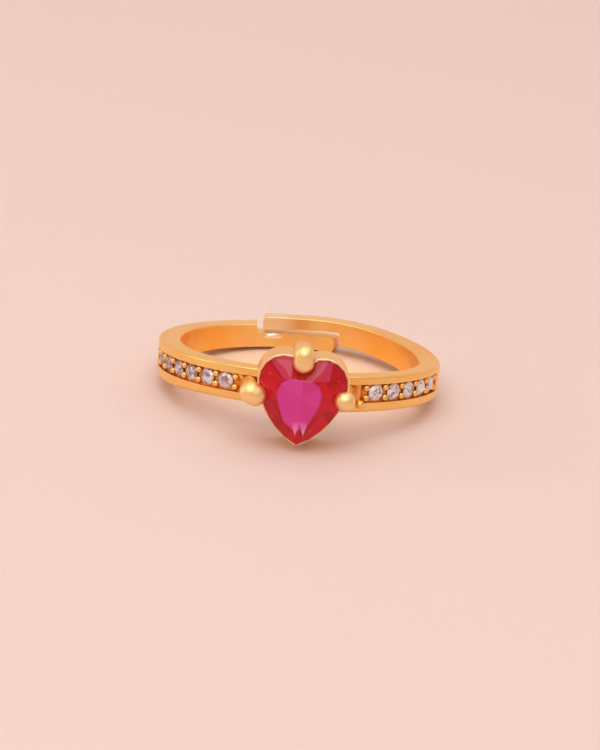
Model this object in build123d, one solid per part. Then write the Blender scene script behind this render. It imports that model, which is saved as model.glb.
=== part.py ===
from build123d import *
import os
from math import acos, asin, atan2, cos, degrees, hypot, pi, radians, sin, sqrt, tan

# An adjustable gold ring: a heart-shaped stone in an open collet with three claws,
# shoulders with round stones set in channels, and a stepped split at the back.
# It is built about the finger axis Z with the heart towards -Y, and then tipped
# until it rests on the collet's point and the back of the band. Millimetres.

# Band
finger_radius = 8.25      # inside of the band
band_wall = 1.47          # thickness at the sides
back_swell = 0.12         # the outer face's centre lies this far behind the finger axis
front_height = 2.31       # height of the band at the heart
back_height = 1.67        # height of the band at the split
edge_round = 0.12         # rounding of the upper and inner edges
foot_round = 0.28         # rounding of the lower outer edge
right_front_drop = 0.12   # how much lower the right arm stands at the front
right_back_lift = 0.53    # how much higher it stands at the split
right_side_dip = 0.26     # and how much it dips on its way, beside the finger
dip_end = 6.5             # the dip fades from this far behind the finger axis
left_foot_drop = 0.05     # lower edge of the left arm below an even taper, at the front
right_foot_drop = 0.15    # the same of the right arm
left_side_drop = 0.48     # and at the sides, where the band is highest
right_side_drop = 0.16
deepest_place = 2.0       # the lower edge is deepest this far in front of the finger axis
foot_return = 6.0         # and back on the even taper this far behind it
arm_sections = 12         # sections that an arm is lofted through

# Stepped split at the back
tongue_reach = 2.62       # how far each tongue runs past the middle of the split
split_shift = 0.11        # the middle of the split lies this far to the right
end_gap = 0.40            # from a tongue's end to the other arm
right_cut_turn = 16.0     # degrees that the right end of the split is cut askew
upper_tongue_tilt = 1.9   # degrees that the right arm's tongue slopes down to its end
lower_tongue = 1.03       # height of the left arm's tongue
tongue_slot = 0.42        # height of the slot between the tongues
step_round = 0.22         # rounding in the corner of each step
tongue_round = 0.28       # rounding of the tongues' ends

# Heart stone
heart_width = 5.84
heart_height = 5.85
lobe_cross = 0.32         # how far the circle of each lobe passes the heart's middle
lobe_turn = 8.0           # degrees below a lobe's widest point where the side begins
heart_tip_radius = 0.25
heart_girdle = 0.10       # thickness of the stone's edge
heart_crown = 0.65        # height of the table above the edge
heart_pavilion = 2.35     # depth of the point below the edge
culet_lift = 0.75         # from the finger's wall to the stone's point
culet_rise = 0.35         # the point's place above the middle of the heart
heart_drop = 0.355        # the middle of the heart below the band's middle
heart_turn = -2.5         # degrees that the setting is turned in its own plane
table_shift = -0.20       # the table's middle beside the middle of the heart

# Collet and claws
stone_clearance = 0.03    # between every stone and the metal
rim_wall = 0.08           # thickness of the collet's rim
rim_rise = 0.10           # rim above the stone's edge at the lobes
rim_fall = 0.25           # how much lower the rim is at the heart's tip
rim_lift = 0.05           # the rim's middle above the middle of the heart
back_lift = -0.08         # the middle of the collet's back above it
collet_relief = 0.10      # collet's open back behind the finger's wall
collet_flare = 1.00       # size of the collet's back, as a share of its rim
opening_waist = 0.85      # size of the open back, as a share of the stone
cut_past = 1.0            # how far the opening is cut past the collet's back
left_claw_radius = 0.74
right_claw_radius = 0.66
top_claw_radius = 0.71
left_claw_stretch = 0.34  # length added to a claw's ball
right_claw_stretch = 0.08
top_claw_stretch = 0.44
left_claw_turn = -25      # degrees that the left ball leans towards the stone
claw_rise = 0.35          # a side claw's ball above the middle of the stone's edge
top_claw_rise = 0.50      # the top claw's ball above it
left_claw_out = 0.30      # claw's middle outside the widest point of the stone
right_claw_out = -0.08
left_claw_height = 0.23   # side claws above the middle of the heart
right_claw_height = 0.41
top_claw_in = 0.00        # top claw's middle below the tops of the lobes
top_claw_left = 0.16      # its middle left of the cleft
stem_radius = 0.58
top_stem_radius = 0.60
stem_lean = 0.30          # how much further out a side claw's stem starts
top_stem_out = -0.12      # how much higher the top claw's stem starts

# Shoulder stones
left_stones = 6           # round stones in the left shoulder
right_stones = 5          # the right row is one shorter
stone_radius = 0.575
stone_gap = 0.40          # between two stones, for the grains
first_stone_arc = 5.40    # along the outer face from the middle of the heart
stone_table = 0.56        # table as a share of the width
stone_girdle = 0.03
stone_crown = 0.17
stone_pavilion = 0.48
stone_sink = 0.03         # tables below the outer face
rail_clearance = 0.02     # from the stones' seats to the rails
channel_depth = 0.30
channel_fall = 0.20       # how much lower the channel lies beside the finger than at the front
channel_run = 0.28        # channel past the last pair of grains
grain_radius = 0.235
grain_sink = 0.22         # middle of a grain below the outer face
grain_from_rail = 0.28

# Facets of the heart, from its point to the cleft. Columns: share of the half outline
# where the facet meets the stone's edge, and the corner of the table that it rises to,
# as shares of half the heart's width and of half its height.
HEART_FACETS = (
    (0.00, 0.000, -0.620),
    (0.20, 0.270, -0.430),
    (0.37, 0.420, -0.080),
    (0.50, 0.465, 0.100),
    (0.62, 0.455, 0.250),
    (0.75, 0.390, 0.400),
    (0.89, 0.220, 0.510),
)
ROUND_FACETS = 8

# Worked out from the sizes above
lobe_radius = (heart_width / 2 + lobe_cross) / 2
outer_radius = finger_radius + band_wall
girdle_depth = finger_radius + culet_lift + heart_pavilion + heart_girdle / 2
rim_depth = girdle_depth + heart_girdle / 2 + rim_rise
collet_depth = finger_radius + collet_relief
collet_grow = stone_clearance + rim_wall
stone_pitch = 2 * stone_radius + stone_gap
channel_half = stone_radius + stone_clearance + rail_clearance
step_low = lower_tongue - back_height / 2
step_high = step_low + tongue_slot
tongue_angle = degrees(asin((tongue_reach + split_shift + end_gap) / finger_radius))
tongue_fall = (2 * tongue_reach + end_gap) * tan(radians(upper_tongue_tilt))
far = 2 * outer_radius


def heading(angle, side):
    """Direction in the ring's plane at an angle from the heart, on one side (1 right, -1 left)."""
    return Vector(side * sin(radians(angle)), -cos(radians(angle)), 0)


def outer_face(angle):
    """Distance of the outer face from the finger axis, at an angle from the heart."""
    back = -cos(radians(angle))
    across = sin(radians(angle))
    return back_swell * back + sqrt(outer_radius**2 - (back_swell * across) ** 2)


def arm_height(y):
    """Height of the band between its upper face and an even taper of its lower edge."""
    share = (y + outer_radius) / (2 * outer_radius)
    return front_height + (back_height - front_height) * share


def eased(share):
    """A share kept between 0 and 1, with a soft start and end."""
    held = min(max(share, 0.0), 1.0)
    return held * held * (3 - 2 * held)


def arm_middle(y, side):
    """Height of an arm's middle above the ring's plane. The right arm dips, then climbs to the back."""
    if side < 0:
        return 0.0
    falling = eased((y + outer_radius) / outer_radius)
    fading = eased((y - dip_end) / (outer_radius - dip_end))
    climb = (right_front_drop + right_back_lift) * eased(y / outer_radius)
    return climb - right_front_drop - right_side_dip * falling * (1 - fading)


def arm_foot(y, side):
    """How far an arm's lower edge lies below an even taper."""
    front = left_foot_drop if side < 0 else right_foot_drop
    deepest = left_side_drop if side < 0 else right_side_drop
    going = eased((y + outer_radius) / (outer_radius - deepest_place))
    coming = eased((y + deepest_place) / (foot_return + deepest_place))
    return (front + (deepest - front) * going) * (1 - coming)


def arm_droop(angle, side):
    """How far the right arm comes down again past the middle of the back."""
    if side < 0:
        return 0.0
    return tongue_fall / 2 * max(angle - 180, 0.0) / tongue_angle


def rounded_corner(u, w, toward_u, toward_w, radius, outward_first):
    """Start, middle and end of a quarter-round at a corner of a section."""
    cu = u - toward_u * radius
    cw = w - toward_w * radius
    diagonal = radius * sqrt(0.5)
    on_side = (u, cw)
    on_end = (cu, w)
    middle = (cu + toward_u * diagonal, cw + toward_w * diagonal)
    return (on_end, middle, on_side) if outward_first else (on_side, middle, on_end)


def arm_section(angle, side):
    """Section of an arm at an angle from the heart, a rectangle with rounded corners."""
    out = heading(angle, side)
    reach = outer_face(angle)
    y = (out * reach).Y
    middle = arm_middle(y, side) - arm_droop(angle, side)
    upper = middle + arm_height(y) / 2
    lower = middle - arm_height(y) / 2 - arm_foot(y, side)
    inner = finger_radius - edge_round / 6
    corners = (
        rounded_corner(reach, upper, 1, 1, edge_round, True),
        rounded_corner(reach, lower, 1, -1, foot_round, False),
        rounded_corner(inner, lower, -1, -1, edge_round, True),
        rounded_corner(inner, upper, -1, 1, edge_round, False),
    )
    edges = []
    for corner, following in zip(corners, corners[1:] + corners[:1]):
        edges.append(ThreePointArc(*corner))
        edges.append(Line(corner[2], following[0]))
    plane = Plane(origin=(0, 0, 0), x_dir=out, z_dir=out.cross(Vector(0, 0, 1)))
    return plane * make_face(edges)


def wedge(start, end, side, low, high):
    """Prism over the sector between two angles, wide enough to pass the whole band."""
    corners = [heading(start + (end - start) * step / 3, side) * far for step in range(4)]
    outline = Polyline((0, 0, 0), *corners, close=True)
    return Pos(0, 0, low) * extrude(make_face(outline), high - low, dir=(0, 0, 1))


def cut_place(x):
    """Place of a cut across the back of the band; the cuts on the right are turned a little."""
    turn = right_cut_turn if x > split_shift else 0.0
    return Pos(x, finger_radius, 0) * Rot(Z=-turn)


def split_box(start, end, low, high):
    """Box through the back of the band, between two places beside a cut and two heights."""
    left, right = min(start, end), max(start, end)
    middle = Pos((left + right) / 2, far / 2 - finger_radius / 2, (low + high) / 2)
    return middle * Box(right - left, far, high - low)


def cut_edges(box, z):
    """Edges of a box that run along a cut at a height."""
    return [edge for edge in box.edges()
            if abs((edge @ 0.5).X) < 1e-6 and abs((edge @ 0.5).Z - z) < 1e-6]


def step_cut(side):
    """Space that an arm leaves free for the other arm's tongue, rounded in its corner."""
    low, high = (step_low, far) if side < 0 else (-far, step_high)
    level = step_low if side < 0 else step_high
    tilt = 0.0 if side < 0 else -upper_tongue_tilt
    box = split_box(0, -side * outer_radius, low, high)
    box = Pos(0, 0, level) * Rot(Y=tilt) * Pos(0, 0, -level) * fillet(cut_edges(box, level), step_round)
    return cut_place(split_shift + side * (tongue_reach + end_gap)) * box


def tongue_end(side):
    """Space past the end of an arm's tongue, which leaves its two corners rounded."""
    back_middle = arm_middle(outer_radius, side)
    if side > 0:
        upper = back_middle + (back_height - tongue_fall) / 2 + edge_round / 4
        lower = step_high - tongue_fall
    else:
        upper = step_low
        lower = back_middle - back_height / 2 - edge_round / 10
    tongue = split_box(0, side * tongue_reach, lower, upper)
    tongue = fillet(cut_edges(tongue, upper) + cut_edges(tongue, lower), tongue_round)
    space = split_box(side * tongue_round, -side * outer_radius, -far, far) - tongue
    return cut_place(split_shift - side * tongue_reach) * space


def arm(side):
    """One arm of the band, from the middle of the heart to the end of its tongue."""
    end = 180 + tongue_angle
    sections = [arm_section(end * step / (arm_sections - 1), side) for step in range(arm_sections)]
    return loft(sections) - step_cut(side) - tongue_end(side)


def row_count(side):
    """Number of round stones in one shoulder."""
    return left_stones if side < 0 else right_stones


def stone_angle(number):
    """Angle from the heart of a place along the channel, counted in stones from the first."""
    return degrees((first_stone_arc + number * stone_pitch) / outer_radius)


def channel_plane(number, side, sink, across=0.0):
    """Plane at a place in the channel, square to the outer face and this far below it."""
    out = heading(stone_angle(number), side)
    fall = channel_fall * (1 + out.Y)
    foot = Vector(0, back_swell, arm_middle(-outer_radius, side) - fall + across)
    return Plane(origin=foot + out * (outer_radius - sink), x_dir=(0, 0, 1), z_dir=out)


def channel(side):
    """Groove between the rails of one shoulder, which falls evenly from the front to the side."""
    last = stone_angle(row_count(side) - 0.5) + degrees(channel_run / outer_radius)
    slope = degrees(atan2(channel_fall, outer_radius))
    front = Pos(0, back_swell - outer_radius, arm_middle(-outer_radius, side)) * Rot(X=-slope)
    sector = front * Pos(0, outer_radius, 0) * wedge(0, last, side, -channel_half, channel_half)
    return sector - Pos(0, back_swell, 0) * Cylinder(outer_radius - channel_depth, far)


def grains(side):
    """Pairs of grains before, between and after the stones of one shoulder."""
    offset = channel_half - grain_from_rail
    places = [channel_plane(number - 0.5, side, grain_sink, across)
              for number in range(row_count(side) + 1) for across in (-offset, offset)]
    return [place * Sphere(grain_radius) for place in places]


def stone_seat(number, side):
    """Drilled seat of a shoulder stone, a cone under a short bore."""
    radius = stone_radius + stone_clearance
    depth = stone_pavilion * radius / stone_radius + stone_clearance
    edge = stone_sink + stone_crown + stone_girdle
    place = channel_plane(number, side, edge)
    cone = Solid.make_cone(radius, 0, depth, Plane(place.origin, z_dir=-place.z_dir))
    bore = Solid.make_cylinder(radius, channel_depth + edge, place)
    return cone + bore


def band():
    """Both arms with their channels, grains and seats, open for the finger."""
    body = arm(-1) + arm(1)
    for side in (-1, 1):
        body = body - channel(side)
        body = body + grains(side)
        body = body - [stone_seat(number, side) for number in range(row_count(side))]
    return body - Cylinder(finger_radius, far)


def heart_plane(depth):
    """Plane of the heart at a distance from the finger axis, facing outwards."""
    turn = radians(heart_turn)
    return Plane(origin=(0, -depth, -heart_drop), x_dir=(cos(turn), 0, sin(turn)), z_dir=(0, -1, 0))


def half_heart(grow=0.0):
    """Arcs of the heart's right half from its point to the cleft: centre, radius, start, sweep."""
    lobe_u = heart_width / 2 - lobe_radius
    lobe_v = heart_height / 2 - lobe_radius
    tip_v = heart_tip_radius - heart_height / 2
    turn = radians(lobe_turn)
    rise = lobe_v - tip_v
    spare = lobe_radius - heart_tip_radius
    extra = (lobe_u**2 + rise**2 - spare**2) / (2 * (spare + lobe_u * cos(turn) - rise * sin(turn)))
    side_u = lobe_u - extra * cos(turn)
    side_v = lobe_v + extra * sin(turn)
    meeting = degrees(atan2(tip_v - side_v, -side_u))
    cleft = 180 - degrees(acos(lobe_u / (lobe_radius + grow)))
    return (
        (0, tip_v, heart_tip_radius + grow, -90, meeting + 90),
        (side_u, side_v, lobe_radius + extra + grow, meeting, -lobe_turn - meeting),
        (lobe_u, lobe_v, lobe_radius + grow, -lobe_turn, cleft + lobe_turn),
    )


def heart_outline(grow=0.0, share=1.0):
    """Face of the heart, grown outwards by a distance and then scaled."""
    right = []
    left = []
    for u, v, radius, start, sweep in half_heart(grow):
        right.append(CenterArc((u * share, v * share), radius * share, start, sweep))
        left.append(CenterArc((-u * share, v * share), radius * share, 180 - start - sweep, sweep))
    return make_face(right + left)


def on_outline(share, grow=0.0):
    """Point and direction at a share of the right half's length, from the point to the cleft."""
    arcs = half_heart(grow)
    left = share * sum(radius * radians(sweep) for _, _, radius, _, sweep in arcs)
    for u, v, radius, start, sweep in arcs:
        length = radius * radians(sweep)
        if left <= length or arcs[-1][3] == start:
            angle = radians(start) + left / radius
            return Vector(u + radius * cos(angle), v + radius * sin(angle)), Vector(-sin(angle), cos(angle))
        left -= length


def height_on_facet(point, foot, along, top, low, high):
    """Height at a point of the plane that rises from a foot line to a top corner."""
    inward = Vector(-along.Y, along.X)
    return low + (high - low) * (point - foot).dot(inward) / (top - foot).dot(inward)


def facet_tier(mains, halves, tops, low, high, share):
    """Triangles and kites from a stone's edge to the corners of its table or to its point."""
    count = len(mains)
    raised = []
    for index in range(count):
        following = (index + 1) % count
        inner = (tops[index] + tops[following]) / 2
        point = halves[index] + (inner - halves[index]) * share
        heights = [height_on_facet(point, *mains[place], tops[place], low, high)
                   for place in (index, following)]
        raised.append(Vector(point.X, point.Y, sum(heights) / 2))
    faces = []
    for index in range(count):
        following = (index + 1) % count
        foot = Vector(mains[index][0].X, mains[index][0].Y, low)
        next_foot = Vector(mains[following][0].X, mains[following][0].Y, low)
        half = Vector(halves[index].X, halves[index].Y, low)
        top = Vector(tops[index].X, tops[index].Y, high)
        next_top = Vector(tops[following].X, tops[following].Y, high)
        faces.append((foot, half, raised[index]))
        faces.append((half, next_foot, raised[index]))
        faces.append((foot, raised[index], top))
        faces.append((top, raised[index - 1], foot))
        if (top - next_top).length > 1e-6:
            faces.append((top, raised[index], next_top))
    return faces


def cut_stone(mains, halves, tops, culet, girdle, crown, pavilion, plane):
    """Faceted stone with a table, a crown, a straight edge and a pavilion that ends in a point."""
    count = len(mains)
    upper = girdle / 2
    faces = facet_tier(mains, halves, tops, upper, upper + crown, 0.5)
    points = [culet] * count
    faces += facet_tier(mains, halves, points, -upper, -upper - pavilion, 0.7)
    ring = []
    for index in range(count):
        ring += [mains[index][0], halves[index]]
    for start, end in zip(ring, ring[1:] + ring[:1]):
        faces.append((Vector(start.X, start.Y, -upper), Vector(end.X, end.Y, -upper),
                      Vector(end.X, end.Y, upper), Vector(start.X, start.Y, upper)))
    faces.append(tuple(Vector(top.X, top.Y, upper + crown) for top in tops))
    placed = [[plane.from_local_coords(corner) for corner in corners] for corners in faces]
    return Solid(Shell([Face(Wire.make_polygon(corners)) for corners in placed]))


def heart_gem(grow=0.0):
    """Heart-shaped stone, or with a growth the space that the claws keep clear of it."""
    mains = []
    halves = []
    tops = []
    shares = [row[0] for row in HEART_FACETS]
    between = [(here + there) / 2 for here, there in zip(shares, shares[1:])] + [1.0]
    for share, across, up in HEART_FACETS:
        mains.append(on_outline(share, grow))
        tops.append(Vector(across * heart_width / 2 + table_shift, up * heart_height / 2))
    for share in between:
        halves.append(on_outline(share, grow)[0])
    for index in range(len(HEART_FACETS) - 1, 0, -1):
        point, along = mains[index]
        mains.append((Vector(-point.X, point.Y), Vector(along.X, -along.Y)))
        tops.append(Vector(2 * table_shift - tops[index].X, tops[index].Y))
        halves.append(Vector(-halves[index - 1].X, halves[index - 1].Y))
    return cut_stone(mains, halves, tops, Vector(0, culet_rise), heart_girdle + 2 * grow,
                     heart_crown + grow, heart_pavilion, heart_plane(girdle_depth))


def shoulder_stone(number, side):
    """Round stone of a shoulder, counted from the heart."""
    step = 2 * pi / ROUND_FACETS
    mains = []
    halves = []
    tops = []
    for index in range(ROUND_FACETS):
        angle = index * step
        out = Vector(cos(angle), sin(angle))
        mains.append((out * stone_radius, Vector(-out.Y, out.X)))
        tops.append(out * (stone_radius * stone_table))
        halves.append(Vector(cos(angle + step / 2), sin(angle + step / 2)) * stone_radius)
    sink = stone_sink + stone_crown + stone_girdle / 2
    return cut_stone(mains, halves, tops, Vector(0, 0), stone_girdle, stone_crown, stone_pavilion,
                     channel_plane(number, side, sink))


def ball(middle, along, radius, stretch):
    """Claw's ball, drawn out along a direction."""
    half = stretch / 2
    outline = [
        Line((-half - radius, 0), (half + radius, 0)),
        CenterArc((half, 0), radius, 0, 90),
        Line((half, radius), (-half, radius)),
        CenterArc((-half, 0), radius, 90, 90),
    ]
    return Plane(middle, z_dir=along) * Rot(Y=-90) * revolve(make_face(outline), Axis.X)


def stem(start, end, radius):
    """Round stem of a claw."""
    axis = end - start
    return Solid.make_cylinder(radius, axis.length, Plane(start, z_dir=axis))


def side_claw(side):
    """Claw that rises from the end of a shoulder and grips the heart's side."""
    out = heart_width / 2 + (left_claw_out if side < 0 else right_claw_out)
    up = left_claw_height if side < 0 else right_claw_height
    turn = radians(left_claw_turn if side < 0 else 0)
    radius = left_claw_radius if side < 0 else right_claw_radius
    stretch = left_claw_stretch if side < 0 else right_claw_stretch
    plane = heart_plane(girdle_depth + claw_rise)
    grip = plane.from_local_coords((side * out, up, 0))
    root = heart_plane(collet_depth).from_local_coords((side * (out + stem_lean), up, 0))
    along = plane.x_dir * cos(turn) + plane.y_dir * sin(turn)
    return stem(root, grip, stem_radius) + ball(grip, along, radius, stretch)


def top_claw():
    """Claw in the cleft."""
    up = heart_height / 2 - top_claw_in
    grip = heart_plane(girdle_depth + top_claw_rise).from_local_coords((-top_claw_left, up, 0))
    root = heart_plane(collet_depth).from_local_coords((-top_claw_left, up + top_stem_out, 0))
    head = ball(grip, heart_plane(0).y_dir, top_claw_radius, top_claw_stretch)
    return stem(root, grip, top_stem_radius) + head


def collet_outline(depth, share, lift):
    """Outline of the collet at a distance from the finger axis, scaled and then lifted."""
    return heart_plane(depth) * Pos(0, lift, 0) * heart_outline(collet_grow, share)


def rim_cut():
    """Space in front of the rim, whose plane falls from the lobes to the heart's tip."""
    fall = degrees(atan2(rim_fall, heart_height))
    block = Pos(0, 0, far / 2) * Box(far, far, far)
    place = heart_plane(rim_depth).location * Pos(0, heart_height / 2, 0) * Rot(X=fall)
    return place * block


def collet():
    """Outer form of the collet, a heart that drops a little to its open back."""
    back = collet_outline(collet_depth, collet_flare, back_lift)
    rim = collet_outline(rim_depth, 1.0, rim_lift)
    return loft([back, rim], ruled=True) - rim_cut()


def stone_opening():
    """Space for the heart stone: straight at its edge, narrowing to the open back."""
    depth = girdle_depth - heart_girdle / 2
    past_back = collet_depth - cut_past
    back_share = 1 - (1 - opening_waist) * (depth - past_back) / (depth - collet_depth)
    back = heart_plane(past_back) * heart_outline(stone_clearance, back_share)
    edge = heart_plane(depth) * heart_outline(stone_clearance)
    throat = loft([back, edge], ruled=True)
    return throat + extrude(edge, rim_depth - depth, dir=(0, -1, 0))


def shank():
    """All the metal: band, collet and claws, cast and soldered into one piece."""
    metal = band() + collet() + side_claw(-1) + side_claw(1) + top_claw()
    metal = metal - stone_opening()
    return metal - heart_gem(stone_clearance * 0.8)


def resting_tilt():
    """Degrees that the ring tips back when it lies on the collet's point and the band."""
    turn = radians(heart_turn)
    tip_v = heart_tip_radius - heart_height / 2
    low = back_lift * cos(turn) - heart_drop
    low += collet_flare * (tip_v * cos(turn) - heart_tip_radius - collet_grow)
    run = outer_face(180) - foot_round + collet_depth
    rise = arm_middle(outer_radius, -1) - arm_height(outer_radius) / 2 + foot_round - low
    return degrees(atan2(rise, run) - asin(foot_round / hypot(run, rise)))


def build():
    """Every piece by name, in the ring's own frame."""
    pieces = {"shank": shank(), "heart_stone": heart_gem()}
    for name, side in (("left", -1), ("right", 1)):
        for number in range(row_count(side)):
            pieces[f"{name}_stone_{number + 1}"] = shoulder_stone(number, side)
    return pieces


def main():
    """Builds the ring, lays it on its resting points and writes each piece."""
    pieces = build()
    tipped = {name: Rot(X=-resting_tilt()) * piece for name, piece in pieces.items()}
    box = tipped["shank"].bounding_box()
    place = Pos(-(box.min.X + box.max.X) / 2, -(box.min.Y + box.max.Y) / 2, -box.min.Z)
    os.makedirs("parts", exist_ok=True)
    for name, piece in tipped.items():
        export_step(place * piece, f"parts/{name}.step")


main()
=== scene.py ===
"""Dresses the gold heart ring: finishes of its metal and stones, small details, floor, light and camera.

Everything is in metres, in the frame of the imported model: Z up, the ring lying on the floor at
Z = 0 with the heart towards -Y. The finger axis leans back by RING.tilt.
"""
from __future__ import annotations

import sys
import logging
from dataclasses import dataclass
from enum import Enum

import bmesh
import bpy
import numpy as np
from mathutils import Matrix, Vector


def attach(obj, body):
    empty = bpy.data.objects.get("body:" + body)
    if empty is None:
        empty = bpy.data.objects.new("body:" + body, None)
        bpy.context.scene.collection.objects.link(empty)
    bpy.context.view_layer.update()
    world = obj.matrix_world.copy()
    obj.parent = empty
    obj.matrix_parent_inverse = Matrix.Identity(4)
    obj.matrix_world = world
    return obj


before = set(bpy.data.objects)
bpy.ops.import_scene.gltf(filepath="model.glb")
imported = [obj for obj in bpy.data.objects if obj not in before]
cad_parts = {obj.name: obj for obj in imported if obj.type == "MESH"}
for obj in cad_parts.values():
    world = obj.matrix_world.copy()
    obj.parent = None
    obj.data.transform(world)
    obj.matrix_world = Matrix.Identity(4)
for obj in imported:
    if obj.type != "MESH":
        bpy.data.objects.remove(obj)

logging.basicConfig(level=logging.INFO, format="%(message)s", stream=sys.stdout)
LOG = logging.getLogger("heart_ring")

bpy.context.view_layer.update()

Triple = tuple[float, float, float]
Socket = bpy.types.NodeSocket
Tree = bpy.types.NodeTree
Material = bpy.types.Material


class Slot(Enum):
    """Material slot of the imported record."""

    GOLD = "gold"


class Side(Enum):
    """Side of the ring, as the sign of its X."""

    LEFT = -1
    RIGHT = 1


# The ring's own frame


@dataclass(frozen=True)
class RingFrame:
    """Where the ring lies: its finger axis, its tilt and the radii that the details follow.

    Lengths are in metres. The local frame has Z along the finger axis and -Y towards the heart.
    """

    tilt: float = np.radians(8.352)
    centre: Triple = (0.0, 0.00122955, 0.00221774)
    finger_radius: float = 0.00825
    outer_radius: float = 0.00972
    swell: float = 0.00012

    def to_world(self, points: np.ndarray) -> np.ndarray:
        """Turns local points about X by the tilt and moves them to the ring's centre.

        Args:
            points: Array whose last axis holds local x, y, z.

        Returns:
            Array of the same shape in the world's frame.
        """
        c, s = np.cos(-self.tilt), np.sin(-self.tilt)
        turn = np.array([[1, 0, 0], [0, c, -s], [0, s, c]])
        return points @ turn.T + np.array(self.centre)


RING = RingFrame()


# Node helpers


class NodeSheet:
    """Short way to place and join nodes in a material, a world or a node group."""

    COLUMN_STEP = 40
    ROW_STEP = 120
    ROWS = 7

    def __init__(self, tree: Tree) -> None:
        """Starts on a tree.

        Args:
            tree: The node tree to work on.
        """
        self.tree = tree
        self.count = 0

    def node(self, kind: str, inputs: dict | None = None, **settings: object) -> bpy.types.Node:
        """Adds a node, sets its properties and fills or joins its inputs.

        Args:
            kind: Blender's type name of the node.
            inputs: Values or output sockets, by input name or number.
            settings: Properties of the node itself.

        Returns:
            The new node.
        """
        new = self.tree.nodes.new(kind)
        new.location = (self.count * self.COLUMN_STEP, -(self.count % self.ROWS) * self.ROW_STEP)
        self.count += 1
        for name, value in settings.items():
            setattr(new, name, value)
        for name, value in (inputs or {}).items():
            if isinstance(value, Socket):
                self.tree.links.new(value, new.inputs[name])
            else:
                new.inputs[name].default_value = value
        return new

    def here(self) -> Socket:
        """Object coordinates of the place that is shaded."""
        return self.node("ShaderNodeTexCoord").outputs["Object"]

    def split(self, vector: Socket) -> list[Socket]:
        """The three parts of a vector."""
        return list(self.node("ShaderNodeSeparateXYZ", {0: vector}).outputs)

    def math(self, operation: str, first: object, second: object = 0.0, clamp: bool = False) -> Socket:
        """Adds a Math node.

        Args:
            operation: The node's operation.
            first: Value or socket of the first input.
            second: Value or socket of the second input.
            clamp: Whether the result is kept between 0 and 1.

        Returns:
            The result's socket.
        """
        inputs = {0: first, 1: second}
        return self.node("ShaderNodeMath", inputs, operation=operation, use_clamp=clamp).outputs[0]

    def times(self, first: object, *others: object) -> Socket:
        """Multiplies values, one after another.

        Args:
            first: First value or socket.
            others: The values or sockets that it is multiplied by.

        Returns:
            The product's socket.
        """
        for other in others:
            first = self.math("MULTIPLY", first, other)
        return first

    def scaled(self, value: Socket, factor: float, base: object) -> Socket:
        """A value times a factor, plus a base."""
        inputs = {0: value, 1: factor, 2: base}
        return self.node("ShaderNodeMath", inputs, operation="MULTIPLY_ADD").outputs[0]

    def span(self, value: Socket, start: object, end: object,
             low: object = 0.0, high: object = 1.0) -> Socket:
        """A value carried from the span start to end to the span low to high, and kept inside it."""
        return self.node("ShaderNodeMapRange", {0: value, 1: start, 2: end, 3: low, 4: high}).outputs[0]

    def noise(self, place: Socket, scale: object, detail: float) -> Socket:
        """Value of a Noise texture at a place."""
        return self.node("ShaderNodeTexNoise", {"Vector": place, "Scale": scale, "Detail": detail}).outputs[0]

    def mix(self, share: object, first: object, second: object) -> Socket:
        """Adds a colour Mix node.

        Args:
            share: Share of the second colour.
            first: First colour or socket.
            second: Second colour or socket.

        Returns:
            The mixed colour's socket.
        """
        first, second = ((*side, 1.0) if isinstance(side, tuple) else side for side in (first, second))
        return self.node("ShaderNodeMix", {0: share, 6: first, 7: second}, data_type="RGBA").outputs[2]

    def ramp(self, value: object, stops: tuple[tuple[float, Triple], ...]) -> Socket:
        """Adds a Color Ramp node.

        Args:
            value: Socket that runs along the ramp.
            stops: Places and colours of its stops.

        Returns:
            The ramp's colour socket.
        """
        new = self.node("ShaderNodeValToRGB", {0: value})
        bar = new.color_ramp.elements
        half_way = 0.5
        while len(bar) < len(stops):
            bar.new(half_way)
        for stop, (place, colour) in zip(bar, stops):
            stop.position = place
            stop.color = (*colour, 1.0)
        return new.outputs[0]

    def group(self, tree: Tree, inputs: dict | None = None) -> bpy.types.NodeOutputs:
        """Places a shared node group.

        Args:
            tree: The group.
            inputs: Its own values or sockets, by the input's name.

        Returns:
            The group's outputs, by name.
        """
        return self.node("ShaderNodeGroup", inputs, node_tree=tree).outputs

    def bump(self, height: Socket, strength: float, distance: float, **under: Socket) -> Socket:
        """Adds a Bump node.

        Args:
            height: Height of the relief.
            strength: Strength of the relief.
            distance: Its depth in metres.
            under: The normal that it lies on, as Normal, where there is one.

        Returns:
            The bumped normal.
        """
        inputs = {"Height": height, "Strength": strength, "Distance": distance, **under}
        return self.node("ShaderNodeBump", inputs).outputs[0]

    def surface(self, inputs: dict) -> None:
        """Makes a Principled shader with these inputs the material's surface."""
        shader = self.node("ShaderNodeBsdfPrincipled", inputs)
        self.node("ShaderNodeOutputMaterial", {"Surface": shader.outputs[0]})


class GroupSheet(NodeSheet):
    """A shared node group in the making, with named number sockets."""

    def __init__(self, name: str, inputs: dict[str, float], outputs: tuple[str, ...]) -> None:
        """Starts the group.

        Args:
            name: Name of the group.
            inputs: Name and first value of each number that goes in.
            outputs: Names of the values that come out.
        """
        super().__init__(bpy.data.node_groups.new(name, "ShaderNodeTree"))
        kind = "NodeSocketFloat"
        for key, value in inputs.items():
            socket = self.tree.interface.new_socket(name=key, in_out="INPUT", socket_type=kind)
            socket.default_value = value
        for key in outputs:
            self.tree.interface.new_socket(name=key, in_out="OUTPUT", socket_type=kind)
        self.entry = self.node("NodeGroupInput")
        self.result = self.node("NodeGroupOutput")

    def given(self, name: str) -> Socket:
        """One of the group's inputs, by its name."""
        return self.entry.outputs[name]

    def close(self, **values: Socket) -> Tree:
        """Ends the group.

        Args:
            values: What comes out, by the output's name.

        Returns:
            The group.
        """
        for name, value in values.items():
            self.tree.links.new(value, self.result.inputs[name])
        return self.tree


# Shared effects


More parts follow.
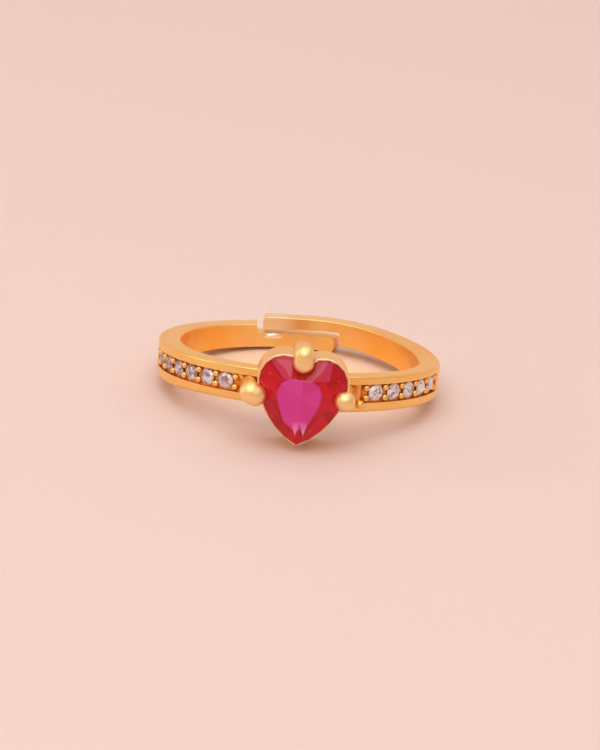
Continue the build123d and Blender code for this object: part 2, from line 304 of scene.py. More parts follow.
class Effects:
    """Shared effects of the finishes, each one a node group that is built once."""

    def __init__(self) -> None:
        """Builds every group."""
        self.ring_place = self._ring_place()
        self.polish_lines = self._polish_lines()
        self.edge_sheen = self._edge_sheen()
        self.cast_grain = self._cast_grain()
        self.crevice_shade = self._crevice_shade()
        self.facet_reflections = self._facet_reflections()
        self.lobe_window = self._lobe_window()
        self.tip_teeth = self._tip_teeth()
        self.glint_spot = self._glint_spot()
        self.facet_sparkle = self._facet_sparkle()
        self.channel_floor_shade = self._channel_floor_shade()
        self.split_ends = self._split_ends()
        self.thrown_glow = self._thrown_glow()

    @staticmethod
    def _ring_place() -> Tree:
        """Place in the ring's own frame, from Object coordinates turned upright.

        Returns:
            Group with the input Swell, how far the band's outer circle is shifted to the back, and
            the outputs Across, Depth (in front of the finger axis), Height, Radius (from the
            finger axis) and Reach (from the outer circle's axis), all in metres.
        """
        sheet = GroupSheet(
            "ring_place", {"Swell": RING.swell}, ("Across", "Depth", "Height", "Radius", "Reach"))
        upright = sheet.node("ShaderNodeMapping", {
            "Vector": sheet.here(), "Location": RING.centre, "Rotation": (-RING.tilt, 0.0, 0.0)},
            vector_type="TEXTURE")
        x, y, z = sheet.split(upright.outputs[0])
        across = sheet.times(x, x)
        shifted = sheet.math("SUBTRACT", y, sheet.given("Swell"))
        radius, reach = (
            sheet.math("SQRT", sheet.math("ADD", across, sheet.times(deep, deep))) for deep in (y, shifted))
        return sheet.close(Across=x, Depth=sheet.times(y, -1.0), Height=z, Radius=radius, Reach=reach)

    def _polish_lines(self) -> Tree:
        """Fine lines that a buffing wheel leaves round the band.

        The place in the ring is changed to (angle, distance, height) about the finger axis and
        read by a noise that is drawn out along the angle.

        Returns:
            Group with the inputs Along and Across, in lines per metre, Wall and Wall End, the
            radii in metres between which the finger's wall ends, and the outputs Lines and
            Inside, which is 1 on the finger's wall.
        """
        sheet = GroupSheet("polish_lines", {
            "Along": 350.0, "Across": 9000.0, "Wall": 0.00827, "Wall End": 0.00841}, ("Lines", "Inside"))
        place = sheet.group(self.ring_place)
        angle = sheet.math("ARCTAN2", place["Across"], place["Depth"])
        polar = sheet.node("ShaderNodeCombineXYZ", {
            0: sheet.times(angle, RING.outer_radius, sheet.given("Along")),
            1: sheet.times(place["Radius"], sheet.given("Across")),
            2: sheet.times(place["Height"], sheet.given("Across"))})
        lines = sheet.node("ShaderNodeTexNoise", {
            "Vector": polar.outputs[0], "Scale": 1.0, "Detail": 3.0, "Roughness": 0.6})
        inside = sheet.span(place["Radius"], sheet.given("Wall"), sheet.given("Wall End"), 1.0, 0.0)
        return sheet.close(Lines=lines.outputs[0], Inside=inside)

    @staticmethod
    def _edge_sheen() -> Tree:
        """Painted highlight on the edges: how far a rounded normal leaves the true one, broken by a noise.

        Returns:
            Group with the inputs Radius, Breakup, Seed and Gain, and one output, the painted edge highlight.
        """
        sheet = GroupSheet(
            "edge_sheen", {"Radius": 0.00010, "Breakup": 2200.0, "Seed": 3.0, "Gain": 6.0}, ("Wear",))
        rounded = sheet.node("ShaderNodeBevel", {"Radius": sheet.given("Radius")}, samples=4)
        true = sheet.node("ShaderNodeNewGeometry").outputs["Normal"]
        dot = sheet.node("ShaderNodeVectorMath", {0: rounded.outputs[0], 1: true}, operation="DOT_PRODUCT")
        bend = sheet.math("SUBTRACT", 1.0, dot.outputs["Value"], clamp=True)
        noise = sheet.node("ShaderNodeTexNoise", {
            "Vector": sheet.here(), "W": sheet.given("Seed"), "Scale": sheet.given("Breakup"), "Detail": 2.0},
            noise_dimensions="4D")
        gained = sheet.times(bend, sheet.given("Gain"))
        return sheet.close(Wear=sheet.math("MULTIPLY", gained, noise.outputs[0], clamp=True))

    @staticmethod
    def _cast_grain() -> Tree:
        """Slow waves and fine pits of polished casting, as a height and a mask of cloudy spots.

        Returns:
            Group with the inputs Wave and Pit, in waves per metre, Pit Share, the pits' share of
            the height, and Cloud Share, the clouds' scale as a share of Wave, and the outputs
            Height and Cloud.
        """
        sheet = GroupSheet("cast_grain", {
            "Wave": 700.0, "Pit": 14000.0, "Pit Share": 0.12, "Cloud Share": 0.45}, ("Height", "Cloud"))
        place = sheet.here()
        wave = sheet.noise(place, sheet.given("Wave"), 1.0)
        pit = sheet.noise(place, sheet.given("Pit"), 2.0)
        height = sheet.math("ADD", wave, sheet.times(pit, sheet.given("Pit Share")))
        cloud = sheet.noise(place, sheet.times(sheet.given("Wave"), sheet.given("Cloud Share")), 3.0)
        return sheet.close(Height=height, Cloud=cloud)

    @staticmethod
    def _crevice_shade() -> Tree:
        """How deep a corner is, from 0 on open metal to 1 between the grains and under the claws, for painted
        shade.

        Returns:
            Group with the inputs Reach and Power and the output Depth.
        """
        sheet = GroupSheet("crevice_shade", {"Reach": 0.00035, "Power": 1.6}, ("Depth",))
        free = sheet.node(
            "ShaderNodeAmbientOcclusion", {"Distance": sheet.given("Reach")}, samples=6, only_local=True)
        depth = sheet.math("SUBTRACT", 1.0, free.outputs["AO"], clamp=True)
        return sheet.close(Depth=sheet.math("POWER", depth, sheet.given("Power")))

    def _facet_reflections(self) -> Tree:
        """Painted reflections of the facets inside the heart stone, in sectors and straight-sided rings round
        its point.

        The angle about the stone's point is cut into whole sectors, and the diamond distance,
        Wide times the size of across plus Tall times the size of height, into whole rings; each
        pair of steps gets its own random shade.

        Returns:
            Group with the inputs Sectors (how many), Ring (metres), Seed, Wide and Tall, and the
            output Shade.
        """
        sheet = GroupSheet("facet_reflections", {
            "Sectors": 14.0, "Ring": 0.001, "Seed": 0.0, "Wide": 0.75, "Tall": 0.65}, ("Shade",))
        place = sheet.group(self.ring_place)
        angle = sheet.math("ARCTAN2", place["Across"], place["Height"])
        sector = sheet.math("FLOOR", sheet.times(angle, 1.0 / (2 * np.pi), sheet.given("Sectors")))
        wide = sheet.times(sheet.math("ABSOLUTE", place["Across"]), sheet.given("Wide"))
        tall = sheet.times(sheet.math("ABSOLUTE", place["Height"]), sheet.given("Tall"))
        ring = sheet.math("FLOOR", sheet.math("DIVIDE", sheet.math("ADD", wide, tall), sheet.given("Ring")))
        cell = sheet.node("ShaderNodeCombineXYZ", {0: sector, 1: ring, 2: sheet.given("Seed")})
        shade = sheet.node("ShaderNodeTexWhiteNoise", {"Vector": cell.outputs[0]}, noise_dimensions="3D")
        return sheet.close(Shade=shade.outputs["Value"])

    def _lobe_window(self) -> Tree:
        """Painted reflection of a pale facet seen through the crown of one lobe.

        With a the distance from the middle on the lobe's side and h the height above Level, the
        mask is 1 between the slanted lines a = Inner + Inner Lean h and a = Outer + Outer Lean h,
        for h from 0 to Tall.

        Returns:
            Group with the inputs Side (-1 left, 1 right), Inner, Inner Lean, Outer, Outer Lean,
            Level and Tall, lengths in metres, and the output Mask.
        """
        sheet = GroupSheet("lobe_window", {
            "Side": 1.0, "Inner": 0.0005, "Inner Lean": 0.0, "Outer": 0.001, "Outer Lean": 0.5,
            "Level": 0.0012, "Tall": 0.0012}, ("Mask",))
        place = sheet.group(self.ring_place)
        beside = sheet.times(place["Across"], sheet.given("Side"))
        rise = sheet.math("SUBTRACT", place["Height"], sheet.given("Level"))
        mask = sheet.times(
            sheet.math("GREATER_THAN", rise, 0.0), sheet.math("LESS_THAN", rise, sheet.given("Tall")))
        for edge, test in (("Inner", "GREATER_THAN"), ("Outer", "LESS_THAN")):
            slant = sheet.times(rise, sheet.given(f"{edge} Lean"))
            line = sheet.math("ADD", slant, sheet.given(edge))
            mask = sheet.times(mask, sheet.math(test, beside, line))
        return sheet.close(Mask=mask)

    def _tip_teeth(self) -> Tree:
        """Painted reflection: pale teeth below the table, where the facets of the point are seen through the
        crown.

        A triangle wave runs across the stone; the mask is 1 where it is higher than the share of
        the way down from Top to Top minus Length, for Half to the right of Middle.

        Returns:
            Group with the inputs Top, Length, Pitch, Middle and Half, in metres, and Paling, and
            the outputs Mask and Down, the share of the way down times Paling.
        """
        sheet = GroupSheet("tip_teeth", {
            "Top": -0.00160, "Length": 0.00100, "Pitch": 0.00053, "Middle": -0.00054, "Half": 0.00106,
            "Paling": 1.4}, ("Mask", "Down"))
        place = sheet.group(self.ring_place)
        beside = sheet.math("SUBTRACT", place["Across"], sheet.given("Middle"))
        wave = sheet.math("FRACT", sheet.math("DIVIDE", beside, sheet.given("Pitch")))
        apart = sheet.math("ABSOLUTE", sheet.math("SUBTRACT", wave, 0.5))
        tooth = sheet.math("SUBTRACT", 1.0, sheet.times(apart, 2.0))
        below = sheet.math("SUBTRACT", sheet.given("Top"), place["Height"])
        down = sheet.math("DIVIDE", below, sheet.given("Length"))
        mask = sheet.times(
            sheet.math("GREATER_THAN", tooth, down), sheet.math("GREATER_THAN", beside, 0.0),
            sheet.math("LESS_THAN", beside, sheet.given("Half")), sheet.math("GREATER_THAN", down, 0.0))
        return sheet.close(Mask=mask, Down=sheet.math("MULTIPLY", down, sheet.given("Paling"), clamp=True))

    def _glint_spot(self) -> Tree:
        """Small bright diamond in the stone, 1 less the share of (|x - Middle| + |z - Level|) in Size.

        Returns:
            Group with the inputs Middle, Level and Size, in metres, and the output Mask.
        """
        sheet = GroupSheet("glint_spot", {"Middle": 0.0, "Level": 0.0, "Size": 0.0001}, ("Mask",))
        place = sheet.group(self.ring_place)
        beside = sheet.math("ABSOLUTE", sheet.math("SUBTRACT", place["Across"], sheet.given("Middle")))
        above = sheet.math("ABSOLUTE", sheet.math("SUBTRACT", place["Height"], sheet.given("Level")))
        share = sheet.math("DIVIDE", sheet.math("ADD", beside, above), sheet.given("Size"))
        return sheet.close(Mask=sheet.math("SUBTRACT", 1.0, share, clamp=True))

    @staticmethod
    def _facet_sparkle() -> Tree:
        """A painted reflection of its own for every flat facet, picked by the direction that the facet faces.

        The true normal is cut into whole steps and read by a white noise.

        Returns:
            Group with the inputs Steps and Seed and the output Shade.
        """
        sheet = GroupSheet("facet_sparkle", {"Steps": 7.0, "Seed": 5.0}, ("Shade",))
        normal = sheet.split(sheet.node("ShaderNodeNewGeometry").outputs["True Normal"])
        steps = [sheet.math("FLOOR", sheet.times(part, sheet.given("Steps"))) for part in normal]
        cell = sheet.node("ShaderNodeCombineXYZ", dict(enumerate(steps)))
        shade = sheet.node("ShaderNodeTexWhiteNoise", {
            "Vector": cell.outputs[0], "W": sheet.given("Seed")}, noise_dimensions="4D")
        return sheet.close(Shade=shade.outputs["Value"])

    def _channel_floor_shade(self) -> Tree:
        """Painted shade on the floor of the stones' channel: 1 on the floor, falling to 0 up its walls.

        Returns:
            Group with the inputs Floor and Wall, as distances from the outer circle's axis, Half,
            half the channel's height, Fall, how much lower it lies beside the finger than at the
            front, Front, the least depth, and Metal, the least distance from the finger axis, in
            metres, and the output Mask.
        """
        sheet = GroupSheet("channel_floor_shade", {
            "Floor": 0.00944, "Wall": 0.00966, "Half": 0.0008, "Fall": 0.0002, "Front": 0.0012,
            "Metal": 0.00875}, ("Mask",))
        place = sheet.group(self.ring_place)
        low = sheet.span(place["Reach"], sheet.given("Floor"), sheet.given("Wall"), 1.0, 0.0)
        behind = sheet.math("SUBTRACT", 1.0, sheet.math("DIVIDE", place["Depth"], RING.outer_radius))
        level = sheet.math("ADD", place["Height"], sheet.times(behind, sheet.given("Fall")))
        inside = sheet.math("LESS_THAN", sheet.math("ABSOLUTE", level), sheet.given("Half"))
        front = sheet.math("GREATER_THAN", place["Depth"], sheet.given("Front"))
        metal = sheet.math("GREATER_THAN", place["Radius"], sheet.given("Metal"))
        return sheet.close(Mask=sheet.times(inside, front, metal, low))

    def _split_ends(self) -> Tree:
        """Masks at the back: painted shade on the sawn faces of the right gap, and a painted highlight on the
        end of the upper tongue.

        Sawn is 1 on faces whose true normal has |x| over Facing, past Gap to the right. Pale
        rises from Start to the left to Share over Run, as far as End, above Step.

        Returns:
            Group with the inputs Facing and Share, and Gap, Start, Run, End, Step and Rear in
            metres, and the outputs Sawn and Pale.
        """
        sheet = GroupSheet("split_ends", {
            "Facing": 0.6, "Share": 0.8, "Gap": 0.0022, "Start": 0.0, "Run": 0.0012, "End": 0.0026,
            "Step": 0.00035, "Rear": -0.0074}, ("Sawn", "Pale"))
        place = sheet.group(self.ring_place)
        rear = sheet.math("LESS_THAN", place["Depth"], sheet.given("Rear"))
        normal = sheet.split(sheet.node("ShaderNodeNewGeometry").outputs["True Normal"])
        sideways = sheet.math("GREATER_THAN", sheet.math("ABSOLUTE", normal[0]), sheet.given("Facing"))
        right = sheet.math("GREATER_THAN", place["Across"], sheet.given("Gap"))
        left = sheet.math("SUBTRACT", sheet.given("Start"), place["Across"])
        rise = sheet.span(left, 0.0, sheet.given("Run"), 0.0, sheet.given("Share"))
        upper = sheet.math("GREATER_THAN", place["Height"], sheet.given("Step"))
        near = sheet.math("LESS_THAN", left, sheet.given("End"))
        return sheet.close(Sawn=sheet.times(rear, sideways, right), Pale=sheet.times(rear, upper, near, rise))

    @staticmethod
    def _thrown_glow() -> Tree:
        """Warm light that the gold throws on the floor inside the ring.

        The mask falls from 1 to 0 between two distances from the middle of the ring, and from
        1 at Back to 0 at Front along y.

        Returns:
            Group with the inputs Inside, Outside, Front and Back, in metres, and the output Mask.
        """
        sheet = GroupSheet("thrown_glow", {
            "Inside": 0.0060, "Outside": 0.0100, "Front": -0.0065, "Back": 0.0045}, ("Mask",))
        place = sheet.here()
        apart = sheet.node("ShaderNodeVectorMath", {0: place, 1: RING.centre}, operation="DISTANCE")
        near = sheet.span(apart.outputs["Value"], sheet.given("Inside"), sheet.given("Outside"), 1.0, 0.0)
        rear = sheet.span(sheet.split(place)[1], sheet.given("Front"), sheet.given("Back"))
        return sheet.close(Mask=sheet.times(near, rear))


# Finishes


BLACK = (0.0, 0.0, 0.0)
WHITE = (1.0, 1.0, 1.0)


class Finish:
    """A material that is painted with the shared effects."""

    name: str

    def paint(self, sheet: NodeSheet, effects: Effects) -> None:
        """Places the material's nodes.

        Args:
            sheet: Sheet of the material's empty tree.
            effects: The shared node groups.
        """
        raise NotImplementedError

    def material(self, effects: Effects) -> Material:
        """Builds the material.

        Args:
            effects: The shared node groups.

        Returns:
            The new material.
        """
        new = bpy.data.materials.new(self.name)
        new.use_nodes = True
        new.node_tree.nodes.clear()
        self.paint(NodeSheet(new.node_tree), effects)
        return new


@dataclass(frozen=True)
class GoldFinish(Finish):
    """Polished yellow gold plating with buffing lines, painted highlights and painted shade.

    The rear and front ranges are depths in front of the finger axis, in metres. A bump is a
    strength and a depth in metres.
    """

    name: str = "gold_polished"
    base: Triple = (1.0, 0.57, 0.16)
    pale: Triple = (1.0, 0.65, 0.22)
    # painted highlight along the edges
    edge_sheen_colour: Triple = (1.0, 0.78, 0.42)
    # painted shade in corners, between the grains and under the claws
    corner: Triple = (0.56, 0.20, 0.05)
    # painted shade on the channel's floor
    channel: Triple = (0.78, 0.28, 0.045)
    # painted shade on the sawn faces of the right gap
    sawn: Triple = (0.98, 0.40, 0.07)
    # painted highlight on the end of the upper tongue
    tongue: Triple = (1.0, 0.86, 0.60)
    # painted highlight: the claws and the collet's front paler, standing in for their broad soft highlight
    claw: Triple = (0.98, 0.70, 0.32)
    # painted reflection: the back of the band lighter and yellower, in patches
    rear_sheen: Triple = (1.0, 0.70, 0.30)
    # painted reflection: the finger's wall deeper orange, as the gold walls light each other
    inner: Triple = (1.0, 0.47, 0.09)
    roughness: float = 0.33
    line_roughness: float = 0.14
    claw_roughness: float = 0.10
    corner_roughness: float = 0.25
    corner_shade_share: float = 0.55
    channel_shade_share: float = 0.85
    inner_reflection_share: float = 0.6
    rear_sheen_share: float = 0.5
    rear_sheen_cloud: float = 0.6
    cloud_range: tuple[float, float] = (0.35, 0.65)
    rear_range: tuple[float, float] = (-0.0060, -0.0085)
    front_range: tuple[float, float] = (0.0112, 0.0117)
    line_bump: tuple[float, float] = (0.05, 0.00002)
    grain_bump: tuple[float, float] = (0.5, 0.00009)

    def paint(self, sheet: NodeSheet, effects: Effects) -> None:
        """Paints the metal: each colour is laid over the ones before it by its own mask.

        Args:
            sheet: Sheet of the material's tree.
            effects: The shared node groups.
        """
        depth = sheet.group(effects.ring_place)["Depth"]
        lines = sheet.group(effects.polish_lines)
        grain = sheet.group(effects.cast_grain)
        ends = sheet.group(effects.split_ends)
        start, end = self.cloud_range
        cloud = sheet.ramp(grain["Cloud"], ((start, BLACK), (end, WHITE)))
        rear = sheet.span(depth, *self.rear_range)
        front = sheet.span(depth, *self.front_range)
        floor = sheet.group(effects.channel_floor_shade)["Mask"]
        corner = sheet.group(effects.crevice_shade)["Depth"]
        painted_shade = sheet.math("MULTIPLY", corner, self.corner_shade_share, clamp=True)
        layers = (
            # painted reflection on the finger's wall
            (sheet.times(lines["Inside"], self.inner_reflection_share), self.inner),
            # painted reflection at the back, in patches
            (sheet.times(sheet.scaled(cloud, self.rear_sheen_cloud, self.rear_sheen_share), rear), self.rear_sheen),
            # painted highlight on the tongue's end
            (ends["Pale"], self.tongue),
            # painted shade on the sawn faces
            (ends["Sawn"], self.sawn),
            # painted highlight on the claws and the collet's front
            (front, self.claw),
            # painted highlight along the edges
            (sheet.group(effects.edge_sheen)["Wear"], self.edge_sheen_colour),
            # painted shade on the channel's floor
            (sheet.times(floor, self.channel_shade_share), self.channel),
            # painted shade in the corners
            (painted_shade, self.corner),
        )
        colour = sheet.mix(cloud, self.base, self.pale)
        for share, tint in layers:
            colour = sheet.mix(share, colour, tint)
        rough = sheet.scaled(lines["Lines"], self.line_roughness, self.roughness - self.line_roughness / 2)
        rough = sheet.scaled(front, self.claw_roughness, rough)
        rough = sheet.math("ADD", rough, sheet.times(painted_shade, self.corner_roughness), clamp=True)
        line_bump = sheet.bump(lines["Lines"], *self.line_bump)
        bump = sheet.bump(grain["Height"], *self.grain_bump, Normal=line_bump)
        sheet.surface({"Base Color": colour, "Roughness": rough, "Metallic": 1.0, "Normal": bump})


@dataclass(frozen=True)
class LobeWindow:
    """Where the painted reflection of a pale facet shows in one lobe, as the shared lobe window takes it."""

    side: Side
    inner: float
    inner_lean: float
    outer: float
    outer_lean: float
    tall: float
    level: float = 0.00117

    def inputs(self) -> dict[str, float]:
        """The values by the names of the group's inputs."""
        return {
            "Side": float(self.side.value), "Inner": self.inner, "Inner Lean": self.inner_lean,
            "Outer": self.outer, "Outer Lean": self.outer_lean, "Level": self.level, "Tall": self.tall}


@dataclass(frozen=True)
class RedStoneFinish(Finish):
    """Cut red stone: magenta through the table, deep red through the crown, with painted reflections of the
    facets inside.

    The table is what lies more than `table_depth` in front of the finger axis, and it blends
    into the crown over `table_edge`. A glint is a place across, a height and a size, in metres.
    """

    name: str = "red_cut_stone"
    table: Triple = (0.71, 0.032, 0.28)
    table_light: Triple = (0.86, 0.062, 0.42)
    crown: Triple = (0.52, 0.001, 0.010)
    crown_light: Triple = (0.80, 0.006, 0.028)
    # painted reflection of a pale facet in each lobe
    window: Triple = (0.70, 0.040, 0.12)
    glint: Triple = (1.0, 0.10, 0.20)
    # painted reflection of the point's facets
    tooth: Triple = (0.95, 0.45, 0.85)
    windows: tuple[LobeWindow, ...] = (
        LobeWindow(Side.LEFT, 0.00086, -0.20, 0.00125, 0.80, 0.00122),
        LobeWindow(Side.RIGHT, 0.00050, 0.60, 0.00172, 0.16, 0.00125))
    glints: tuple[Triple, ...] = (
        (-0.00219, 0.00144, 0.00013), (0.00072, -0.00223, 0.00015),
        (0.00235, 0.0012, 0.00010), (0.00150, -0.0013, 0.00009))
    table_depth: float = 0.01208
    table_edge: float = 0.00003
    tooth_share: float = 0.9
    roughness: float = 0.05

    def paint(self, sheet: NodeSheet, effects: Effects) -> None:
        """Paints the stone.

        Args:
            sheet: Sheet of the material's tree.
            effects: The shared node groups.
        """
        # painted facet reflections in the table and the crown
        broad = sheet.group(effects.facet_reflections, {"Sectors": 6.0, "Ring": 0.0016, "Seed": 4.0})
        fine = sheet.group(effects.facet_reflections, {"Sectors": 22.0, "Ring": 0.0009, "Seed": 9.0})
        table = sheet.mix(broad["Shade"], self.table, self.table_light)
        crown = sheet.mix(fine["Shade"], self.crown, self.crown_light)
        for window in self.windows:
            mask = sheet.group(effects.lobe_window, window.inputs())["Mask"]
            crown = sheet.mix(mask, crown, self.window)
        for middle, level, size in self.glints:
            spot = sheet.group(effects.glint_spot, {"Middle": middle, "Level": level, "Size": size})
            crown = sheet.mix(spot["Mask"], crown, self.glint)
        depth = sheet.group(effects.ring_place)["Depth"]
        step = sheet.span(depth, self.table_depth - self.table_edge, self.table_depth)
        teeth = sheet.group(effects.tip_teeth)
        tooth = sheet.mix(teeth["Down"], self.table_light, self.tooth)
        colour = sheet.mix(step, crown, table)
        colour = sheet.mix(sheet.times(teeth["Mask"], self.tooth_share), colour, tooth)
        cloud = sheet.group(effects.cast_grain, {"Wave": 900.0, "Pit": 9000.0})["Cloud"]
        sheet.surface({
            "Base Color": colour, "Roughness": sheet.times(cloud, self.roughness), "Metallic": 0.0,
            "IOR": 1.52, "Specular IOR Level": 0.32, "Transmission Weight": 0.30})


@dataclass(frozen=True)
class ClearStoneFinish(Finish):
    """Colourless cut stone: each facet painted white, lilac-grey or brown, as its reflections and the gold
    seen through it.

    A facet's shade is its own random value blended with that of small cells, `cell_share` of
    them; `levels` are the shades at which brown, grey, lilac and white are reached.
    """

    name: str
    levels: tuple[float, float, float, float]
    brown: Triple = (0.36, 0.15, 0.10)
    grey: Triple = (0.50, 0.40, 0.47)
    lilac: Triple = (0.84, 0.70, 0.82)
    white: Triple = (1.0, 0.98, 1.0)
    cells: float = 5200.0
    cell_share: float = 0.45
    roughness: float = 0.06

    def paint(self, sheet: NodeSheet, effects: Effects) -> None:
        """Paints the stone.

        Args:
            sheet: Sheet of the material's tree.
            effects: The shared node groups.
        """
        facet = sheet.group(effects.facet_sparkle)["Shade"]
        cells = sheet.node("ShaderNodeTexVoronoi", {"Vector": sheet.here(), "Scale": self.cells})
        cell = sheet.node("ShaderNodeSeparateColor", {0: cells.outputs["Color"]}).outputs[0]
        shade = sheet.scaled(facet, 1.0 - self.cell_share, sheet.times(cell, self.cell_share))
        colours = (self.brown, self.grey, self.lilac, self.white)
        cloud = sheet.group(effects.cast_grain, {"Wave": 1500.0, "Pit": 9000.0})["Cloud"]
        sheet.surface({
            "Base Color": sheet.ramp(shade, tuple(zip(self.levels, colours))),
            "Roughness": sheet.times(cloud, self.roughness), "Metallic": 0.0, "IOR": 2.1,
            "Transmission Weight": 0.25})


@dataclass(frozen=True)
class FloorFinish(Finish):
    """Plain pale floor with a faint mottle, and the warm light that the gold throws on it.

    A bump is a strength and a depth in metres.
    """

    name: str = "pale_floor"
    colour: Triple = (0.765, 0.615, 0.58)
    mottle: Triple = (0.72, 0.55, 0.50)
    glow: Triple = (0.87, 0.63, 0.40)
    thrown: Triple = (1.0, 0.50, 0.12)
    thrown_strength: float = 0.08
    mottle_share: float = 0.10
    roughness: float = 0.75
    grain_bump: tuple[float, float] = (0.05, 0.0001)

    def paint(self, sheet: NodeSheet, effects: Effects) -> None:
        """Paints the floor.

        Args:
            sheet: Sheet of the material's tree.
            effects: The shared node groups.
        """
        grain = sheet.group(effects.cast_grain, {"Wave": 120.0, "Pit": 3000.0})
        glow = sheet.group(effects.thrown_glow)["Mask"]
        colour = sheet.mix(sheet.times(grain["Cloud"], self.mottle_share), self.colour, self.mottle)
        sheet.surface({
            "Base Color": sheet.mix(glow, colour, self.glow), "Roughness": self.roughness,
            "Normal": sheet.bump(grain["Height"], *self.grain_bump),
            "Emission Color": (*self.thrown, 1.0),
            "Emission Strength": sheet.times(glow, glow, self.thrown_strength)})


# New pieces


def grid_mesh(name: str, points: np.ndarray, closed_u: bool = False,
              closed_v: bool = False) -> bpy.types.Object:
    """Makes a mesh of quads from a grid of points.

    The faces join each point with its next ones along both parameters; a closed parameter also
    joins its last row to its first.

    Args:
        name: Name of the object.
        points: Array of shape (u, v, 3).
        closed_u: Whether the first parameter runs round.
        closed_v: Whether the second parameter runs round.

    Returns:
        The new object, linked and at the origin.
    """
    nu, nv = points.shape[:2]
    rows = np.arange(nu * nv).reshape(nu, nv)
    if closed_u:
        rows = np.vstack([rows, rows[:1]])
    if closed_v:
        rows = np.hstack([rows, rows[:, :1]])
    quads = np.stack([rows[:-1, :-1], rows[1:, :-1], rows[1:, 1:], rows[:-1, 1:]], axis=-1).reshape(-1, 4)
    mesh = bpy.data.meshes.new(name)
    mesh.from_pydata(points.reshape(-1, 3).tolist(), [], quads.tolist())
    mesh.polygons.foreach_set("use_smooth", np.ones(len(mesh.polygons), bool))
    mesh.update()
    new = bpy.data.objects.new(name, mesh)
    bpy.context.scene.collection.objects.link(new)
    return new


@dataclass(frozen=True)
class Form:
    """A small form added to the metal: a skin over a grid of points whose second parameter runs round."""

    name: str

    def points(self) -> np.ndarray:
        """World points of the skin, of shape (u, v, 3)."""
        raise NotImplementedError

    def build(self, metal: Material, closed_u: bool = False) -> None:
        """Makes the piece, welds its seams, turns its faces outwards and lets it ride on the ring.

        Args:
            metal: Its finish.
            closed_u: Whether the first parameter runs round too.
        """
        seam = 1e-8
        piece = grid_mesh(self.name, self.points(), closed_u, closed_v=True)
        work = bmesh.new()
        work.from_mesh(piece.data)
        bmesh.ops.remove_doubles(work, verts=work.verts, dist=seam)
        bmesh.ops.recalc_face_normals(work, faces=work.faces)
        work.to_mesh(piece.data)
        work.free()
        piece.data.materials.append(metal)
        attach(piece, "root")
        LOG.info("built %s, %d faces", piece.name, len(piece.data.polygons))


@dataclass(frozen=True)
class HeartOutline:
    """Outline of the heart in its own plane, from arcs: tip, side and lobe, and their mirror image."""

    width: float = 0.00584
    height: float = 0.00585
    lobe_radius: float = 0.00162
    lobe_turn: float = np.radians(8.0)
    tip_radius: float = 0.00025
    drop: float = 0.000355
    turn: float = np.radians(-2.5)

    def arcs(self, grow: float) -> np.ndarray:
        """Arcs of the right half from the tip to the cleft.

        Args:
            grow: Distance outside the stone's edge.

        Returns:
            One row an arc: centre u and v, radius, first angle, sweep.
        """
        lobe_u = self.width / 2 - self.lobe_radius
        lobe_v = self.height / 2 - self.lobe_radius
        tip_v = self.tip_radius - self.height / 2
        rise = lobe_v - tip_v
        spare = self.lobe_radius - self.tip_radius
        extra = (lobe_u**2 + rise**2 - spare**2) / (
            2 * (spare + lobe_u * np.cos(self.lobe_turn) - rise * np.sin(self.lobe_turn)))
        side_u = lobe_u - extra * np.cos(self.lobe_turn)
        side_v = lobe_v + extra * np.sin(self.lobe_turn)
        meeting = np.arctan2(tip_v - side_v, -side_u)
        cleft = np.pi - np.arccos(lobe_u / (self.lobe_radius + grow))
        return np.array([
            [0.0, tip_v, self.tip_radius + grow, -np.pi / 2, meeting + np.pi / 2],
            [side_u, side_v, self.lobe_radius + extra + grow, meeting, -self.lobe_turn - meeting],
            [lobe_u, lobe_v, self.lobe_radius + grow, -self.lobe_turn, cleft + self.lobe_turn],
        ])

    def path(self, grow: float, steps: int) -> tuple[np.ndarray, np.ndarray]:
        """Points and outward directions once round the heart.

        A share of the half's length picks its arc and the angle on it; a point is the arc's
        centre plus its radius along that angle. The left half is the mirror image, run backwards.

        Args:
            grow: Distance outside the stone's edge.
            steps: Number of points on each half.

        Returns:
            Points and directions, each of shape (2 * steps - 2, 2).
        """
        arcs = self.arcs(grow)
        lengths = arcs[:, 2] * arcs[:, 4]
        ends = np.cumsum(lengths)
        just_short = 1 - 1e-9
        way = np.linspace(0.0, ends[-1] * just_short, steps)
        pick = np.searchsorted(ends, way, side="right")
        angle = arcs[pick, 3] + (way - (ends - lengths)[pick]) / arcs[pick, 2]
        out = np.stack([np.cos(angle), np.sin(angle)], axis=-1)
        right = arcs[pick, :2] + arcs[pick, 2:3] * out
        mirror = np.array([-1.0, 1.0])
        points = np.concatenate([right, (right * mirror)[-2:0:-1]])
        directions = np.concatenate([out, (out * mirror)[-2:0:-1]])
        return points, directions

    def place(self, points: np.ndarray, depth: np.ndarray) -> np.ndarray:
        """Carries plane points to the world: turned in the plane, dropped, and set at a depth.

        Args:
            points: Array whose last axis holds u and v.
            depth: Distance in front of the finger axis, of the same leading shape.

        Returns:
            Array whose last axis holds world x, y, z.
        """
        c, s = np.cos(self.turn), np.sin(self.turn)
        u, v = points[..., 0], points[..., 1]
        local = np.stack([u * c - v * s, -depth, u * s + v * c - self.drop], axis=-1)
        return RING.to_world(local)


